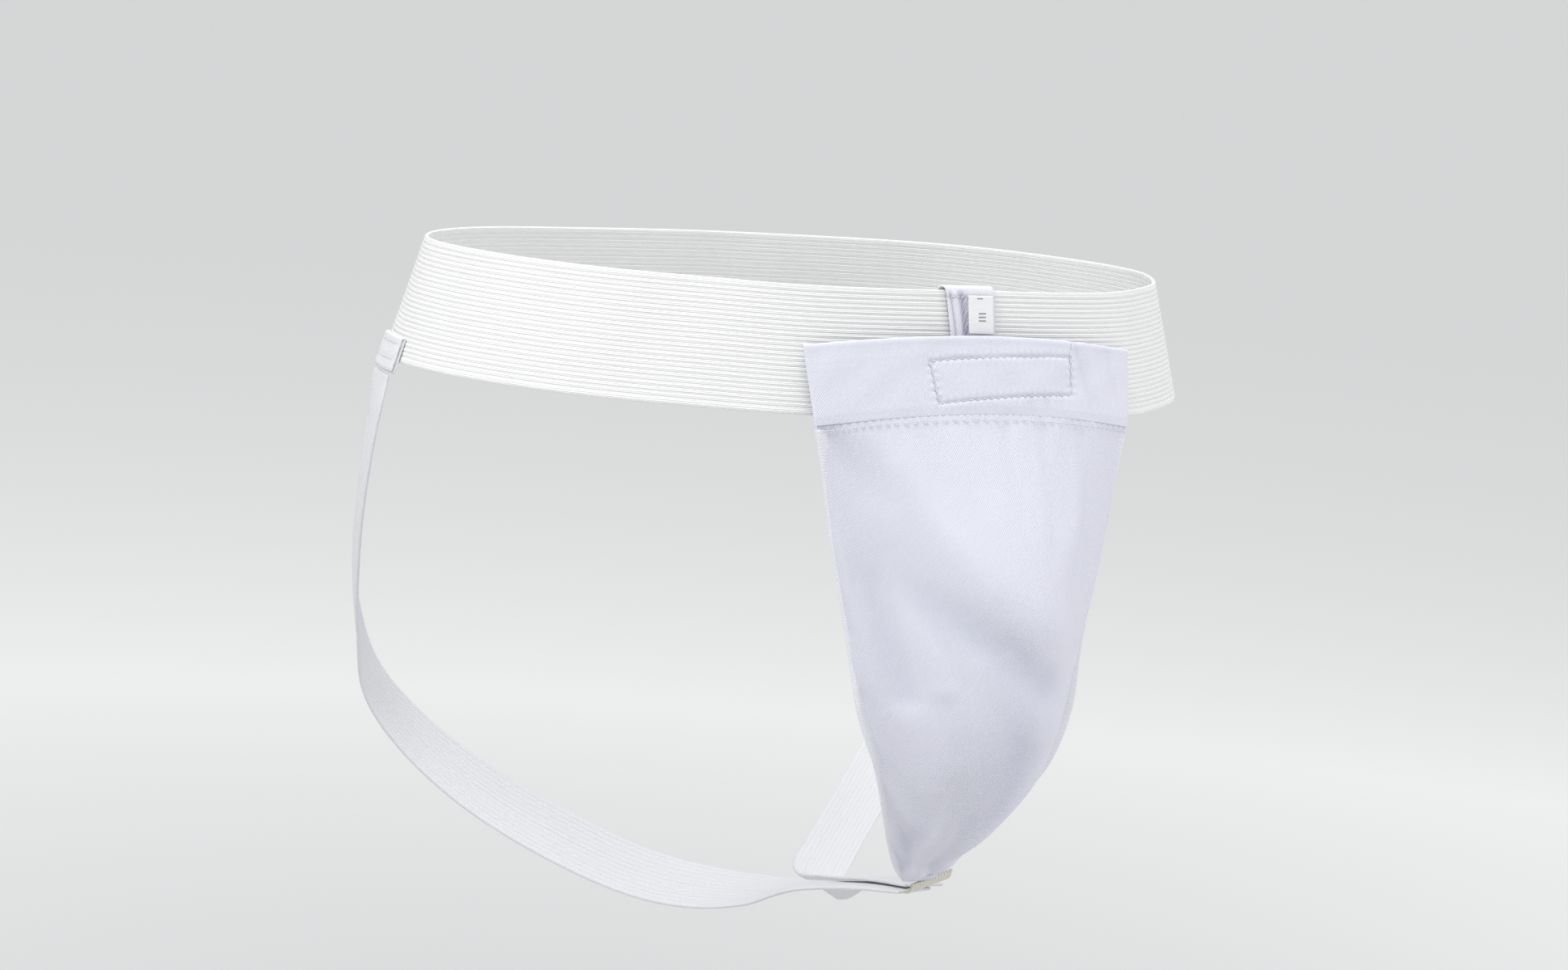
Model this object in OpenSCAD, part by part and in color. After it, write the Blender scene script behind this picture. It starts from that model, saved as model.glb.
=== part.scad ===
// Groin protector: cloth cup pouch on a wide ribbed waistband, with two elastic leg straps.
// X is the wearer's left, -Y the wearer's front, Z up. Origin: centre of the waistband's top edge.

/* [Waistband] */
// Width of the waist opening from side to side
waist_w = 318; // [280:2:380]
// Depth of the waist opening from front to back
waist_d = 232; // [205:1:275]
// Height of the band, measured straight down
band_h = 48.6; // [40:0.2:60]
// Thickness of the ribbed elastic
band_t = 1.6; // [1.2:0.1:2.2]
// How far the band leans out over the hips, in degrees
side_flare = 15.5; // [8:0.1:20]
// How far the band leans out over the belly, in degrees
front_flare = 10; // [4:0.5:14]

/* [Pouch] */
// Thickness of the pouch cloth
cloth_t = 1; // [0.6:0.1:1.4]
// Thickness of the folded hem
hem_t = 1.8; // [1.2:0.1:2]
// Width of the bound edge down each side
binding_w = 6; // [4:0.5:8]
// Thickness of the bound edge
binding_t = 3; // [2:0.1:3.4]
// Width of the hook and loop strips
strip_w = 68; // [40:1:80]
// Height of the hook and loop strips
strip_h = 16; // [10:1:18]

/* [Cup] */
// Wall of the cup
cup_t = 2.6; // [1.6:0.1:3]
// Depth of the cup
cup_depth = 27; // [20:1:28]
// Diameter of a vent hole
vent_d = 5; // [3:0.5:7]
// Height of the soft pad around the cup's edge
pad_t = 3; // [2:0.2:3.4]

/* [Straps and tab] */
// Width of the leg straps
strap_w = 24; // [18:1:30]
// Thickness of the leg straps
strap_t = 1.4; // [1:0.1:1.8]
// Width of the size label
label_w = 11.6; // [8:0.2:14]
// Length of the size label
label_l = 15; // [8:0.2:15.6]

/* [Hidden] */
gap = 0.2;            // between sewn layers
thread_d = 0.5;
stitch_l = 2.2;
tape_t = 0.8;         // thickness of the hook and loop strips and of the join patch

plan_w = 318;         // size the waist outline below is drawn at
plan_d = 232;
// one half of the waist opening, front to back
half_plan = [[0, -108], [38, -108], [73, -101], [106, -77], [138, -44], [159, -4], [159, 38],
    [137, 78], [95, 107], [48, 121], [0, 124]];
// pouch sections from the hem's seam to the tip:
// edge height, mid height, half width, edge depth, bulge of the middle in front of the edge
sections = [[-52, -46, 74, 117.4, 8.8], [-68, -64, 70.4, 118.6, 17.5], [-90, -88, 65.7, 119.8, 27],
    [-115, -115, 60.4, 122.4, 34], [-140, -141, 55.2, 125.3, 37.5], [-162, -165, 51, 128.7, 36.5],
    [-182, -187, 42.5, 130, 30], [-202, -207, 31.8, 124.2, 23], [-220, -223, 19.5, 114.8, 14],
    [-230, -231, 12, 112, 4]];
hem_top = [-22, -16.5, 76.8, 109, 9.5];
// leg strap from hip to crotch: x, y, z, compass way the outside faces, and its lean to the floor
strap_path = [[-175.4, 42.3, -53.9, 165, -15], [-176.6, 43.2, -66, 163, -10], [-175.6, 49.5, -86, 160, -4],
    [-173, 58, -110, 158, 0], [-166.9, 70, -138, 156, 6], [-158.7, 81, -160, 149, 12],
    [-146.5, 89, -187, 128, 22], [-126, 87, -211, 108, 28], [-100, 73, -233, 88, 30],
    [-72, 52, -250, 72, 34], [-47, 30, -261, 62, 42], [-28, 8, -263.5, 50, 54],
    [-16, -20, -259, 35, 70], [-11, -50, -250, 20, 88], [-6, -80, -243, 10, 90],
    [-2, -107, -238.6, 0, 90]];
strap_narrow = 0.28;  // share of its width a leg strap loses where it is gathered at the tip
side_curve = 0.8;     // how the pouch rounds off from its middle to its edges
// the same at the wearer's left of the front: how far down the pouch, and how sharply it rounds off
left_curve = [[0, 0.8], [0.3, 0.8], [0.47, 0.95], [0.56, 1], [0.67, 1.1], [0.78, 1.3], [1, 1.2]];
cup_mid = -135;       // height of the cup's crown
cup_top = -64;
cup_bottom = -204;
cup_w = 43;           // half width at the crown's height
rim_lean = 0.08;      // the cup's edge plane leans forward towards the tip
strip_x = 8;          // the closure sits a little to the wearer's left
hip_j = 70;           // the ring's step where a leg strap is sewn on

function catmull(a, b, c, d, t) =
    0.5 * ((2 * b) + (c - a) * t + (2 * a - 5 * b + 4 * c - d) * t * t
    + (3 * b - a - 3 * c + d) * t * t * t);
function loop_curve(p, m) = [for (i = [0:len(p) - 1], k = [0:m - 1]) let (n = len(p))
    catmull(p[(i + n - 1) % n], p[i], p[(i + 1) % n], p[(i + 2) % n], k / m)];
// value of a list of rows at t, where t runs from 0 to the last row's number
function open_curve(p, t) = let (n = len(p) - 1, i = min(n - 1, floor(t)))
    catmull(i > 0 ? p[i - 1] : 2 * p[0] - p[1], p[i], p[i + 1],
        i < n - 1 ? p[i + 2] : 2 * p[n] - p[n - 1], t - i);
function unit(v) = v / norm(v);
function flat(grid) = [for (row = grid) each row];

// outward normals of a grid of points: rows run down, columns run to the wearer's left
function normals(g, wrap) = let (r = len(g), c = len(g[0])) [for (i = [0:r - 1]) [for (j = [0:c - 1])
    let (up = g[max(0, i - 1)][j], down = g[min(r - 1, i + 1)][j],
        left = g[i][wrap ? (j + c - 1) % c : max(0, j - 1)],
        right = g[i][wrap ? (j + 1) % c : min(c - 1, j + 1)])
    unit(cross(down - up, right - left))]];
function lifted(g, n, d) = [for (i = [0:len(g) - 1]) [for (j = [0:len(g[0]) - 1]) g[i][j] + n[i][j] * d]];

// closed solid between an outer grid a and an inner grid b
module slab(a, b, wrap = false) {
    r = len(a);
    c = len(a[0]);
    n = r * c;
    q = c - 1;
    e = (r - 1) * c;
    cols = wrap ? c - 1 : c - 2;
    skin = [for (i = [0:r - 2], j = [0:cols]) let (k = (j + 1) % c, p = i * c, s = p + c)
        each [[p + j, p + k, s + k], [p + j, s + k, s + j],
        [n + p + j, n + s + k, n + p + k], [n + p + j, n + s + j, n + s + k]]];
    ends = [for (j = [0:cols]) let (k = (j + 1) % c)
        each [[n + j, n + k, k], [n + j, k, j],
        [e + j, e + k, n + e + k], [e + j, n + e + k, n + e + j]]];
    sides = wrap ? [] : [for (i = [0:r - 2]) let (p = i * c, s = p + c)
        each [[n + p, p, s], [n + p, s, n + s],
        [p + q, n + p + q, n + s + q], [p + q, n + s + q, s + q]]];
    polyhedron(concat(flat(a), flat(b)), concat(skin, ends, sides), convexity = 8);
}
// a sheet of thickness t about a middle surface, moved out by d
module sheet(g, t, d = 0, wrap = false) {
    n = normals(g, wrap);
    slab(lifted(g, n, d + t / 2), lifted(g, n, d - t / 2), wrap);
}
// a row of thread stitches along points on a surface
module stitch_row(pts, nrm) {
    for (i = [0:len(pts) - 2]) {
        mid = (pts[i] + pts[i + 1]) / 2;
        x = unit(pts[i + 1] - pts[i]);
        z = unit(nrm - x * (nrm * x));
        y = cross(z, x);
        multmatrix([[x[0], y[0], z[0], mid[0]], [x[1], y[1], z[1], mid[1]], [x[2], y[2], z[2], mid[2]]])
            cube([stitch_l, thread_d, thread_d], center = true);
    }
}

// ---- waistband surface ----
plan_half = [for (p = half_plan) [p[0] * waist_w / plan_w, p[1] * waist_d / plan_d]];
plan_ring = loop_curve(concat(plan_half,
    [for (i = [len(plan_half) - 2:-1:1]) [-plan_half[i][0], plan_half[i][1]]]), 5);
plan_out = [for (j = [0:len(plan_ring) - 1]) let (n = len(plan_ring),
    t = plan_ring[(j + 1) % n] - plan_ring[(j + n - 1) % n]) unit([t[1], -t[0]])];
function lean(out) = tan(side_flare - (side_flare - front_flare) * pow(max(0, -out[1]), 4));
function band_pt(j, z) = let (k = (j + len(plan_ring)) % len(plan_ring), o = plan_out[k],
    p = plan_ring[k] - o * z * lean(o)) [p[0], p[1], z];
band_grid = [for (z = [0, -band_h / 2, -band_h]) [for (j = [0:len(plan_ring) - 1]) band_pt(j, z)]];

// ---- pouch surfaces ----
// a row across the pouch, from the wearer's right edge, u = -1, to the left edge, u = 1
function pouch_y(s, u, curve = side_curve) = -(s[3] + s[4] * pow(1 - pow(abs(u), 2.2), curve));
function pouch_row(s, n, inset = 0, sink = 0, left = side_curve) = [for (j = [0:n])
    let (u = 2 * j / n - 1) [(s[2] - inset) * u,
    pouch_y(s, u, u > 0 ? left : side_curve) + sink, s[0] + (s[1] - s[0]) * (1 - u * u)]];
front_top = 0.012;    // the front starts just under the hem
function front_at(v) = open_curve(sections, v * (len(sections) - 1));
function hem_at(v) = hem_top + (sections[0] - hem_top) * v;
back_sections = concat([[-24, -24, 58, 112.9, 2.4], [-48, -48, 64, 116.1, 2.7]],
    [for (i = [1:len(sections) - 1]) let (s = sections[i])
    [s[0], s[0], s[2] - binding_w - 4 * gap, s[3] - 0.9, i == 1 ? 1.5 : 0]]);

// ---- cup surface: an egg outline about its crown, and a dome over it ----
function egg(a) = let (h = cos(a) > 0 ? cup_top - cup_mid : cup_mid - cup_bottom,
    w = cup_w * (1 + 0.22 * cos(a))) [w * sign(sin(a)) * pow(abs(sin(a)), 0.8), h * cos(a)];
function rim_y(z) = -122.6 + rim_lean * (z - cup_top);
function cup_pt(r, a) = let (e = egg(a), z = cup_mid + r * e[1])
    [r * e[0], rim_y(z) - pad_t - (cup_depth - pad_t) * pow(1 - r * r, 0.9), z];
cup_steps = 48;
cup_rings = [for (r = [1, 0.97, 0.9, 0.8, 0.68, 0.55, 0.4, 0.25, 0.12])
    [for (k = [0:cup_steps - 1]) cup_pt(r, 360 * k / cup_steps)]];

// ---- leg strap surface ----
strap_steps = 44;
function strap_row(t, raise) = let (n = len(strap_path) - 1, c = open_curve(strap_path, t * n),
    d = open_curve(strap_path, min(n, t * n + 0.05)) - open_curve(strap_path, max(0, t * n - 0.05)),
    way = unit([d[0], d[1], d[2]]), face = [cos(c[3]) * cos(c[4]), sin(c[3]) * cos(c[4]), -sin(c[4])],
    across = unit(cross(face, way)), high = raise * max(0, min(1, (-14 - c[1]) / 20)),
    wide = strap_w * (1 - strap_narrow * max(0, min(1, (-60 - c[1]) / 45))))
    [for (u = [-0.5, 0, 0.5]) [c[0], c[1], c[2] + high] + across * u * wide];

module waistband() {
    color("#f3f2ec") sheet(band_grid, band_t, 0, true);
}
module join_patch() {
    mid = len(plan_ring) / 2;
    color("#eceadf") sheet([for (z = [-3:-14:-45]) [for (j = [mid - 1:mid + 1]) let (p = band_pt(j, z))
        [(j - mid) * -12, p[1], z]]], tape_t, (band_t + tape_t) / 2 + gap);
}
module join_stitches() {
    mid = len(plan_ring) / 2;
    color("#ffffff") for (s = [-1, 1]) stitch_row([for (z = [-4:-3.5:-44]) let (p = band_pt(mid, z))
        [s * 10.5, p[1] + (band_t + thread_d) / 2 + tape_t + 2.6 * gap, z]], [0, 1, 0.3]);
}
tab_t = 0.9;
label_t = 0.4;
// the tab's way over the band's top edge: y and z
tab_line = [[-107.1, -8], [-106.4, -4], [-106.2, -0.6], [-106.8, 0.9], [-108, 1.5], [-109.3, 1],
    [-110, -0.6], [-110.7, -4], [-111.6, -9], [-112.5, -14], [-113.6, -20], [-114, -22.4]];
module hanger_tab() {
    n = len(tab_line) - 1;
    color("#eef0f7") mirror([1, 0, 0]) sheet([for (i = [0:n]) let (t = i / n)
        [for (u = [0, 0.5, 1]) [-8.4 - 0.9 * t + (25 - 4.5 * t) * u, tab_line[i][0], tab_line[i][1]]]],
        tab_t);
}
module tab_stitches() {
    color("#ffffff") stitch_row([for (x = [-14.5:3:7]) [x, -110.45 - tab_t, -1.4]], [0, -1, 0.2]);
}
module size_label() {
    color("#fbfbfb") translate([1.6, -112.3, -2]) rotate([-8.5, 0, 0])
        translate([-label_w / 2, 0, -label_l]) cube([label_w, label_t, label_l]);
}
module pouch_back() {
    color("#dcdeea") sheet([for (v = [0:0.5:len(back_sections) - 1])
        pouch_row(open_curve(back_sections, v), 12)], cloth_t);
}
module pouch_front() {
    color("#e3e5f1") sheet([for (i = [0:24]) let (v = front_top + (1 - front_top) * i / 24)
        pouch_row(front_at(v), 24, binding_w + 4 * gap, -gap, lookup(v, left_curve))], cloth_t);
}
module top_hem() {
    color("#dfe1ee") sheet([for (v = [0, 0.33, 0.66, 0.97]) pouch_row(hem_at(v), 24)], hem_t);
}
module hem_stitches() {
    row = pouch_row(front_at(0.02), 44, binding_w + 1, -1.4);
    color("#ffffff") stitch_row(row, [0, -1, 0]);
}
function hem_spot(x, v, out) = let (s = hem_at(v), u = x / s[2])
    [x, pouch_y(s, u) - out, s[0] + (s[1] - s[0]) * (1 - u * u)];
// the strips are centred down the hem and down the top of the back panel
hem_l = norm([hem_top[0] - sections[0][0], hem_top[3] - sections[0][3]]);
strip_v = strip_h / hem_l / 2;
loop_v = 0.4;         // middle of the loop strip, down the top of the back panel
module closure_stitches() {
    out = hem_t / 2 + gap + thread_d / 2;
    x0 = strip_x - strip_w / 2;
    x1 = strip_x + strip_w / 2;
    color("#ffffff") {
        for (v = [0.5 - strip_v - 0.06, 0.5 + strip_v + 0.06])
            stitch_row([for (i = [0:21]) hem_spot(x0 + (x1 - x0) * i / 21, v, out)], [0, -1, 0]);
        for (x = [x0 - 1, x1 + 1])
            stitch_row([for (i = [-2.5:2.5]) hem_spot(x, 0.5 + strip_v * i / 2.5, out)], [0, -1, 0.3]);
    }
}
module hook_strip() {
    color("#d6d8e0") sheet([for (v = [0.5 - strip_v, 0.5, 0.5 + strip_v]) [for (i = [0:14])
        hem_spot(strip_x + strip_w * (i / 14 - 0.5), v, 0)]], tape_t, -(hem_t + tape_t) / 2 - gap);
}
module loop_strip() {
    back_l = back_sections[0][0] - back_sections[1][0];
    color("#e6e7ee") sheet([for (k = [-0.5, 0, 0.5]) [for (i = [0:14])
        let (x = strip_x + strip_w * (i / 14 - 0.5),
        s = open_curve(back_sections, loop_v + k * strip_h / back_l))
        [x, pouch_y(s, x / s[2]), s[0]]]], tape_t, (cloth_t + tape_t) / 2 + gap);
}
module edge_binding() {
    color("#eceef7") sheet([for (i = [0:30]) let (s = front_at(front_top + (1 - front_top) * i / 30))
        [for (u = [0, 0.5, 1]) [s[2] - binding_w * (1 - u), -s[3], s[0]]]], binding_t);
}
module edge_binding_left() {
    edge_binding();
}
module edge_binding_right() {
    mirror([1, 0, 0]) edge_binding();
}
module cup_shell() {
    color("#f4f4f2") difference() {
        sheet(cup_rings, cup_t, 0, true);
        for (a = [30:60:330]) translate([20 * sin(a), 0, cup_mid + 30 * cos(a)])
            rotate([90, 0, 0]) cylinder(d = vent_d, h = 180, $fn = 24);
    }
}
module cup_edge_pad() {
    color("#3c3f46") sheet([for (s = [1.03, 0.92]) [for (p = cup_rings[0])
        [p[0] * s, rim_y(p[2]) - pad_t / 2 + 0.5, cup_mid + (p[2] - cup_mid) * s]]], pad_t - 1, 0, true);
}
module leg_strap(raise) {
    color("#f1f3f9") sheet([for (i = [0:strap_steps]) strap_row(i / strap_steps, raise)], strap_t);
}
module leg_strap_left() {
    mirror([1, 0, 0]) leg_strap(strap_t + 0.6);
}
module leg_strap_right() {
    leg_strap(0);
}
// point on the band beside the hip, s along its edge, at height z
function hip_pt(s, z) = let (m = band_pt(hip_j, z), e = band_pt(hip_j + sign(s), z))
    s == 0 ? m : m + unit(e - m) * abs(s);
module strap_anchor() {
    color("#f1f3f9") sheet([for (z = [-37.8:-5:-52.8]) [for (u = [-0.5, 0, 0.5]) hip_pt(u * strap_w, z)]],
        2 * strap_t, band_t / 2 + gap + strap_t);
}
module anchor_stitches() {
    out = plan_out[hip_j];
    d = band_t / 2 + 2 * gap + 2 * strap_t + thread_d / 2;
    lift = [out[0], out[1], 0.2] * d;
    color("#ffffff") for (z = [-41.4, -47.6]) stitch_row([for (i = [0:6]) let (s = -9 + 3 * i)
        hip_pt(s, z) + lift], [out[0], out[1], 0.3]);
}
module strap_anchor_left() {
    mirror([1, 0, 0]) strap_anchor();
}
module strap_anchor_right() {
    strap_anchor();
}
module anchor_stitches_left() {
    mirror([1, 0, 0]) anchor_stitches();
}
module anchor_stitches_right() {
    anchor_stitches();
}
module crotch_elastic() {
    color("#f4f1e4") sheet([for (p = [[-114.4, -231.9], [-113.8, -233.9], [-112, -235.4], [-109, -236]])
        [for (x = [-9, 0.5, 10]) [x, p[0], p[1]]]], 1.4);
}
module crotch_stitches() {
    row = pouch_row(front_at(0.94), 24, binding_w + 4 * gap, -2.4, left_curve[5][1]);
    color("#ffffff") stitch_row([for (i = [6:3:18]) row[i]], [0, -1, -0.6]);
}

waistband();
join_patch();
join_stitches();
hanger_tab();
tab_stitches();
size_label();
pouch_back();
pouch_front();
top_hem();
hem_stitches();
closure_stitches();
hook_strip();
loop_strip();
edge_binding_left();
edge_binding_right();
cup_shell();
cup_edge_pad();
leg_strap_left();
leg_strap_right();
strap_anchor_left();
strap_anchor_right();
anchor_stitches_left();
anchor_stitches_right();
crotch_elastic();
crotch_stitches();
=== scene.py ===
import math
import random

import bmesh
import bpy
import numpy as np
from mathutils import Matrix, Vector


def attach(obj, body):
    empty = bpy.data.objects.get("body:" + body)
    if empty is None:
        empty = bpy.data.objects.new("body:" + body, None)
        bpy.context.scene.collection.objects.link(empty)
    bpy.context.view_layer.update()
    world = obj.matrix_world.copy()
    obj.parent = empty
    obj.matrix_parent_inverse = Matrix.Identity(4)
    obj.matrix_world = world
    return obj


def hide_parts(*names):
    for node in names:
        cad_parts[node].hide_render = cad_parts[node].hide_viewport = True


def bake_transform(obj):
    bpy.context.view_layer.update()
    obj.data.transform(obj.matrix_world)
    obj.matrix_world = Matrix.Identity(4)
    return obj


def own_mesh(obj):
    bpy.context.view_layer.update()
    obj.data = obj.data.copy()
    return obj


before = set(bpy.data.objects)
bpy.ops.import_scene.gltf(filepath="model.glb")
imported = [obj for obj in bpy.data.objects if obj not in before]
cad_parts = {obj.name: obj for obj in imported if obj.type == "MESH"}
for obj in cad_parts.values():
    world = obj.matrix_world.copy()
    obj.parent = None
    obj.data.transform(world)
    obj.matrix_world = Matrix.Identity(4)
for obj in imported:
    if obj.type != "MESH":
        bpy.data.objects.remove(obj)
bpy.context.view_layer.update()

mm = 0.001
scene = bpy.context.scene
surfaces = {}  # outside face of each cloth piece, for whatever is sewn on it
finishes = {}


# curves and grids

def catmull(a, b, c, d, t):
    return 0.5 * (2 * b + (c - a) * t + (2 * a - 5 * b + 4 * c - d) * t * t
                  + (3 * b - a - 3 * c + d) * t ** 3)


def openCurve(rows, t):
    # value at t of a smooth curve through the rows, with t from 0 to the last row's number
    last = len(rows) - 1
    i = min(last - 1, int(t))
    before = rows[i - 1] if i else 2 * rows[0] - rows[1]
    after = rows[i + 2] if i < last - 1 else 2 * rows[last] - rows[last - 1]
    return catmull(before, rows[i], rows[i + 1], after, t - i)


def edgeSteps(count, length, roundness):
    # steps from 0 to 1 across a cloth, close together near both edges so that these can be rounded
    e = min(0.3, roundness / length)
    near = np.array([0, 0.1, 0.3, 0.6]) * e
    return np.concatenate([near, np.linspace(e, 1 - e, count), 1 - near[::-1]])


def edgeRound(steps, length, roundness, thinnest=0.2):
    near = np.clip(np.minimum(steps, 1 - steps) * length / roundness, 0, 1)
    return np.maximum(thinnest, np.sqrt(1 - (1 - near) ** 2))


def edgesRound(down, length, across, width, roundness):
    return np.outer(edgeRound(down, length, roundness), edgeRound(across, width, roundness))


def mirror(points, side):
    # what is drawn on the wearer's right, -1, is mirrored on the left, 1
    return points * ((1, 1, 1) if side < 0 else (-1, 1, 1))


def straightRow(x, y, z):
    return np.stack([x, y + 0 * x, z + 0 * x], -1)


def unit(v):
    return v / np.maximum(1e-12, np.linalg.norm(v, axis=-1, keepdims=True))


def gridNormals(grid, wrap=False):
    down = np.gradient(grid, axis=0)
    across = np.gradient(grid, axis=1)
    if wrap:
        across = (np.roll(grid, -1, 1) - np.roll(grid, 1, 1)) / 2
    return unit(np.cross(down, across))


def bell(distance, width):
    return np.exp(-(distance / width) ** 2)


def nearLine(x, z, line):
    # distance from a line on the cloth, and how far along it, from 0 to 1
    (ax, az), (bx, bz) = line
    dx, dz = bx - ax, bz - az
    along = ((x - ax) * dx + (z - az) * dz) / (dx * dx + dz * dz)
    held = np.clip(along, 0, 1)
    return np.hypot(x - ax - held * dx, z - az - held * dz), along


def foldRelief(x, z, folds):
    # each fold: its line, its width, and its height out of the cloth, or depth where negative.
    # A fold is full near its start and dies away to its end
    relief = np.zeros_like(x)
    for line, width, height in folds:
        distance, along = nearLine(x, z, line)
        relief += height * bell(distance, width) * np.clip(1.15 - along, 0, 1) ** 0.8
    return relief


# meshes

def meshFrom(name, verts, faces, uvs, creaseShade=None):
    mesh = bpy.data.meshes.new(name)
    mesh.from_pydata(verts.tolist(), [], faces)
    layer = mesh.uv_layers.new(name="flat")
    layer.data.foreach_set("uv", np.asarray(uvs, np.float32).ravel())
    # how much painted shade each point takes in folds, grooves and seams
    if creaseShade is None:
        creaseShade = np.zeros(len(verts))
    attribute = mesh.attributes.new("creaseShade", "FLOAT", "POINT")
    attribute.data.foreach_set("value", np.asarray(creaseShade, np.float32).ravel())
    work = bmesh.new()
    work.from_mesh(mesh)
    bmesh.ops.recalc_face_normals(work, faces=work.faces)
    work.to_mesh(mesh)
    work.free()
    mesh.polygons.foreach_set("use_smooth", [True] * len(mesh.polygons))
    piece = bpy.data.objects.new(name, mesh)
    scene.collection.objects.link(piece)
    return piece


def flatSize(grid, wrap=False):
    # how far each point is across and down the cloth, in metres
    closed = np.concatenate([grid, grid[:, :1]], 1) if wrap else grid
    steps = np.linalg.norm(np.diff(closed, axis=1), axis=-1)
    across = np.concatenate([np.zeros((len(grid), 1)), np.cumsum(steps, 1)], 1)
    middle = grid.shape[1] // 2
    across -= across[:, middle:middle + 1]
    down = np.concatenate([[0], np.cumsum(np.linalg.norm(np.diff(grid[:, middle], axis=0), axis=-1))])
    return np.stack([across, np.broadcast_to(down[:, None], across.shape)], -1)


def clothSlab(name, middle, thickness, wrap=False, creaseShade=None, steps=None):
    # closed cloth of that thickness about a grid of points: rows run down, columns across
    rows, cols = middle.shape[:2]
    normal = gridNormals(middle, wrap)
    half = np.broadcast_to(thickness, (rows, cols))[..., None] / 2
    verts = np.concatenate([(middle + normal * half).reshape(-1, 3),
                            (middle - normal * half).reshape(-1, 3)])
    uv = flatSize(middle, wrap)
    lastCol = cols if wrap else cols - 1
    i, j = (a.ravel() for a in np.mgrid[0:rows - 1, 0:lastCol])

    def quads(*corners):
        return np.stack([np.stack(np.broadcast_arrays(*c), -1) for c in corners], 1)

    faces = [quads((i, j, 0), (i + 1, j, 0), (i + 1, j + 1, 0), (i, j + 1, 0)),
             quads((i, j, 1), (i, j + 1, 1), (i + 1, j + 1, 1), (i + 1, j, 1))]
    k = np.arange(lastCol)
    for r in (0, rows - 1):
        faces.append(quads((r, k, 0), (r, k + 1, 0), (r, k + 1, 1), (r, k, 1)))
    if not wrap:
        k = np.arange(rows - 1)
        for c in (0, cols - 1):
            faces.append(quads((k, c, 0), (k + 1, c, 0), (k + 1, c, 1), (k, c, 1)))
    faces = np.concatenate(faces)
    index = faces[..., 2] * rows * cols + faces[..., 0] * cols + faces[..., 1] % cols
    both = None if creaseShade is None else np.tile(np.broadcast_to(creaseShade, (rows, cols)).ravel(), 2)
    piece = meshFrom(name, verts, index.tolist(), uv[faces[..., 0], faces[..., 1]], both)
    if steps is not None:
        surfaces[name] = (middle + normal * half, normal, steps[0], steps[1])
    return piece


def loopMesh(name, grid, uv, creaseShade=None):
    # a closed section carried round a closed ring: rows go round the section, columns round the ring
    rows, cols = grid.shape[:2]
    i, j = (a.ravel() for a in np.mgrid[0:rows, 0:cols])
    r = np.stack([i, i + 1, i + 1, i], 1)
    c = np.stack([j, j, j + 1, j + 1], 1)
    return meshFrom(name, grid.reshape(-1, 3), (r % rows * cols + c % cols).tolist(), uv[r, c],
                    None if creaseShade is None else creaseShade.ravel())


def spot(name, down, across, lift=0.0):
    # a point on the outside of a cloth piece, and its normal there
    outer, normal, rowSteps, colSteps = surfaces[name]
    r = np.interp(down, rowSteps, np.arange(len(rowSteps)))
    c = np.interp(across, colSteps, np.arange(len(colSteps)))
    i, j = min(int(r), len(rowSteps) - 2), min(int(c), len(colSteps) - 2)
    a, b = r - i, c - j
    mix = [(1 - a) * (1 - b), (1 - a) * b, a * (1 - b), a * b]
    near = [(i, j), (i, j + 1), (i + 1, j), (i + 1, j + 1)]
    n = unit(sum(m * normal[q] for m, q in zip(mix, near)))
    return sum(m * outer[q] for m, q in zip(mix, near)) + n * lift, n


threadLook = {"diameter": 0.5 * mm, "sides": 6, "fill": 0.74, "rise": 0.3}
stitchPitch = 3.3


def threadPieces(name, runs, look=threadLook):
    # runs: one start, end and normal for each visible length of thread
    along = np.array([0, 0.14, 0.5, 0.86, 1])
    lift = np.array([-0.55, 0.1, look["rise"], 0.1, -0.55]) * look["diameter"]
    radius = np.array([0.35, 0.9, 1, 0.9, 0.35]) * look["diameter"] / 2
    sides = look["sides"]
    turn = np.arange(sides) * 2 * math.pi / sides
    verts, faces, uvs = [], [], []
    for a, b, n in runs:
        way = unit(b - a)
        up = unit(n - way * np.dot(n, way))
        side = np.cross(way, up)
        base = len(verts) * sides
        length = np.linalg.norm(b - a)
        for k in range(5):
            middle = a + (b - a) * along[k] + up * lift[k]
            verts.append(middle + radius[k] * (np.cos(turn)[:, None] * side + np.sin(turn)[:, None] * up))
        for k in range(4):
            for s in range(sides):
                t = (s + 1) % sides
                faces.append([base + k * sides + s, base + k * sides + t,
                              base + (k + 1) * sides + t, base + (k + 1) * sides + s])
                round0, round1 = s / sides * 1.5 * mm, (s + 1) / sides * 1.5 * mm
                uvs += [[round0, along[k] * length], [round1, along[k] * length],
                        [round1, along[k + 1] * length], [round0, along[k + 1] * length]]
        for k in (0, 4):
            faces.append([base + k * sides + s for s in range(sides)])
            uvs += [[0, along[k] * length]] * sides
    return meshFrom(name, np.concatenate(verts), faces, uvs)


def stitchLine(points, fill=threadLook["fill"]):
    # one stitch between each point and the next, with little gaps between the stitches
    runs = []
    for (a, n), (b, _) in zip(points, points[1:]):
        middle, half = (a + b) / 2, (b - a) / 2 * fill
        runs.append((middle - half, middle + half, n))
    return runs


def settle(piece, body, slotName, *nodes):
    piece.data.materials.append(finishes[slotName])
    if body:
        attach(piece, body)
    if nodes:
        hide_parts(*nodes)
    return piece


# finishes

def newFinish(name):
    finish = bpy.data.materials.new(name)
    finish.use_nodes = True
    tree = finish.node_tree
    tree.nodes.clear()
    end = tree.nodes.new("ShaderNodeOutputMaterial")
    shader = tree.nodes.new("ShaderNodeBsdfPrincipled")
    tree.links.new(shader.outputs[0], end.inputs[0])
    finishes[name] = finish
    return tree, shader


def put(tree, socket, value):
    if isinstance(value, bpy.types.NodeSocket):
        tree.links.new(value, socket)
    else:
        socket.default_value = value


def setSockets(node, values):
    for name, value in values.items():
        node.inputs[name].default_value = value


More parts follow.
